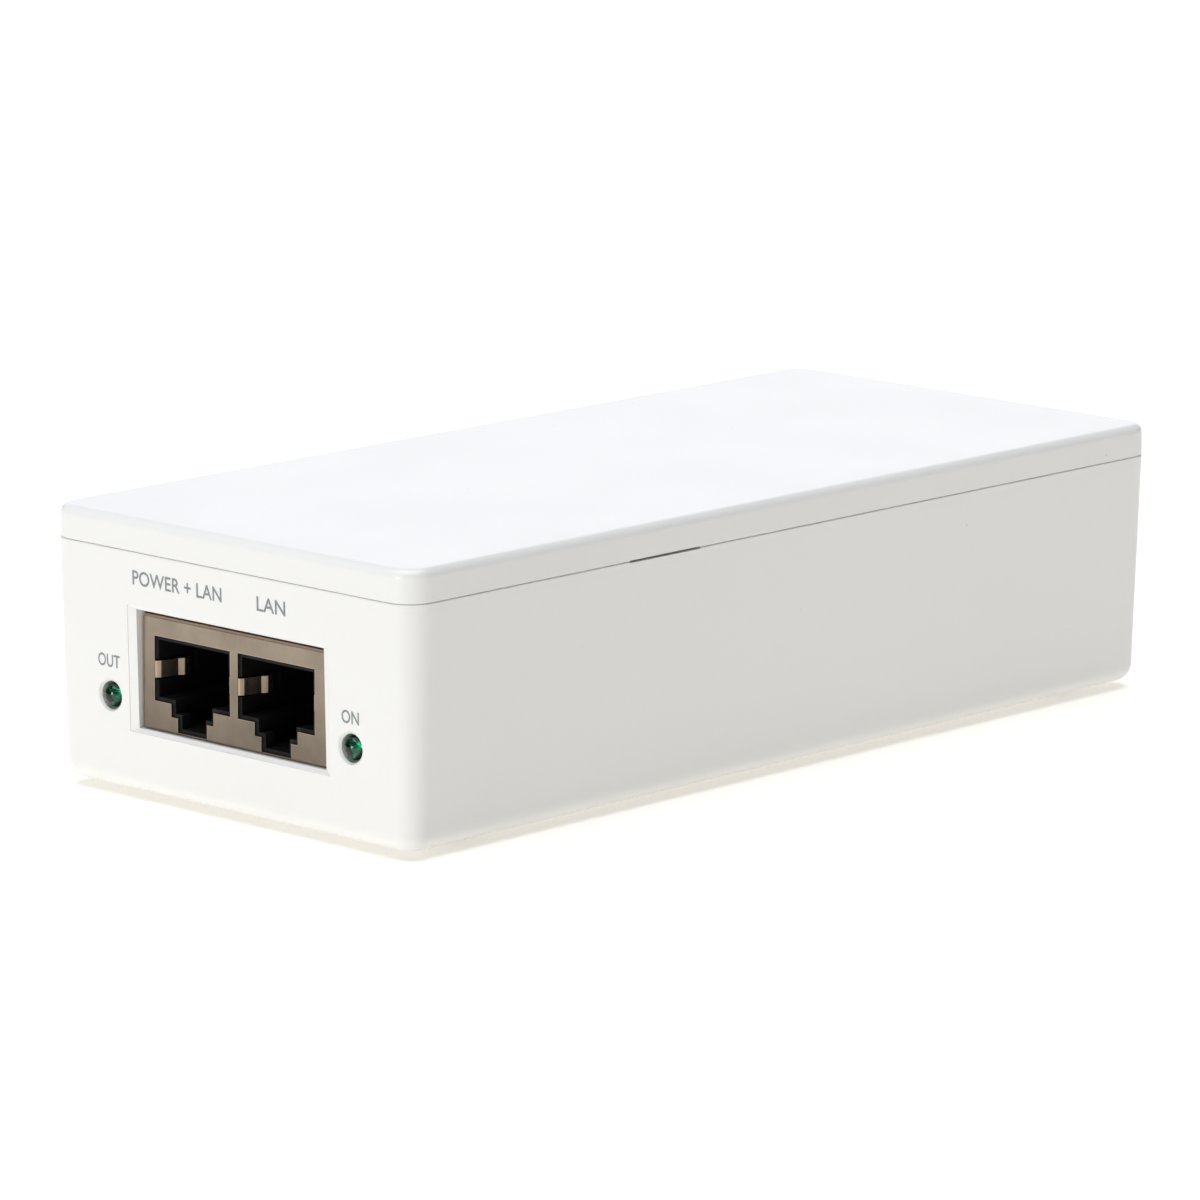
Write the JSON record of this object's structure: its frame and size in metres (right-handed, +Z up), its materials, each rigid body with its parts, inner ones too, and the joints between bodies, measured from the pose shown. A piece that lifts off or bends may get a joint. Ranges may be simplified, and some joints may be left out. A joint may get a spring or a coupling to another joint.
{
  "type": "poe injector",
  "caption": "Desktop PoE injector: white two-part case, shielded twin data jack and status lights at the front, mains inlet behind, supply board inside, lift-off cover.",
  "frame": {"origin": "on the desk, under the middle of the case: the bottom faces of the rubber feet are at z = 0", "axes": "-Y is the front, with the data ports; +Y is the back, with the mains inlet; +X is on the right of someone who looks at the ports; +Z is up"},
  "size_m": [0.06, 0.134, 0.0341],
  "materials": {
    "case_plastic": "fine satin moulded polycarbonate blend, warm white",
    "foot_rubber": "soft dark grey elastomer",
    "screw_steel": "zinc-plated steel",
    "label_film": "blank silver-grey polyester film",
    "insulating_film": "dark formable insulation film",
    "shield_nickel": "nickel-plated phosphor bronze sheet, warm grey",
    "jack_nylon": "black glass-filled nylon",
    "contact_gold": "gold flash over nickel on drawn wire",
    "lamp_epoxy": "green diffused epoxy, unlit",
    "tinned_copper": "tinned copper",
    "spacer_nylon": "natural nylon",
    "inlet_plastic": "black thermoset-look plastic",
    "blade_nickel": "nickel-plated brass",
    "fuse_glass": "clear glass tube",
    "varistor_epoxy": "blue epoxy dip",
    "film_capacitor_box": "yellow flame-retardant box",
    "ferrite": "sintered dark grey ferrite",
    "enamelled_copper": "enamelled copper wire",
    "package_epoxy": "black moulding compound",
    "sleeve_black": "heat-shrink sleeve",
    "heatsink_aluminium": "bare rolled aluminium",
    "bobbin_phenolic": "black phenolic",
    "winding_tape": "yellow polyester tape",
    "disc_epoxy": "blue epoxy-dipped ceramic disc",
    "data_magnetics": "black moulded package",
    "chip_ceramic": "fired ceramic with tinned ends",
    "board_laminate": "green solder mask over fibreglass laminate"
  },
  "bodies": {
    "base": {"base_shell": "case_plastic", "rubber_feet": "foot_rubber", "cover_screws": "screw_steel", "rating_label": "label_film", "insulation_sheet": "insulating_film", "jack_shield": "shield_nickel", "jack_housing": "jack_nylon", "contact_carriers": "jack_nylon", "output_port_contacts": "contact_gold", "input_port_contacts": "contact_gold", "left_status_light": "lamp_epoxy", "right_status_light": "lamp_epoxy", "light_leads": "tinned_copper", "light_spacers": "spacer_nylon", "mains_inlet": "inlet_plastic", "inlet_pins": "blade_nickel", "fuse_tube": "fuse_glass", "fuse_caps": "blade_nickel", "fuse_clips": "blade_nickel", "surge_varistor": "varistor_epoxy", "x_capacitor": "film_capacitor_box", "choke_core": "ferrite", "choke_windings": "enamelled_copper", "choke_stand": "bobbin_phenolic", "bridge_rectifier": "package_epoxy", "bulk_capacitor": "sleeve_black", "bulk_capacitor_leads": "tinned_copper", "primary_heatsink": "heatsink_aluminium", "output_heatsink": "heatsink_aluminium", "switching_transistor": "package_epoxy", "output_diode": "package_epoxy", "power_tabs": "tinned_copper", "heatsink_screws": "screw_steel", "transformer_core": "ferrite", "transformer_bobbin": "bobbin_phenolic", "transformer_winding": "winding_tape", "y_capacitors": "disc_epoxy", "output_capacitors": "sleeve_black", "output_choke_core": "ferrite", "output_choke_winding": "enamelled_copper", "data_transformers": "data_magnetics", "control_chips": "package_epoxy", "chip_parts": "chip_ceramic", "component_leads": "tinned_copper", "main_board": "board_laminate"},
    "cover": {"top_cover": "case_plastic"}
  },
  "joints": [
    {"name": "cover_lift", "type": "slide", "parent": "base", "child": "cover", "axis": [0, 0, 1], "range_m": [0, 0.06]}
  ]
}
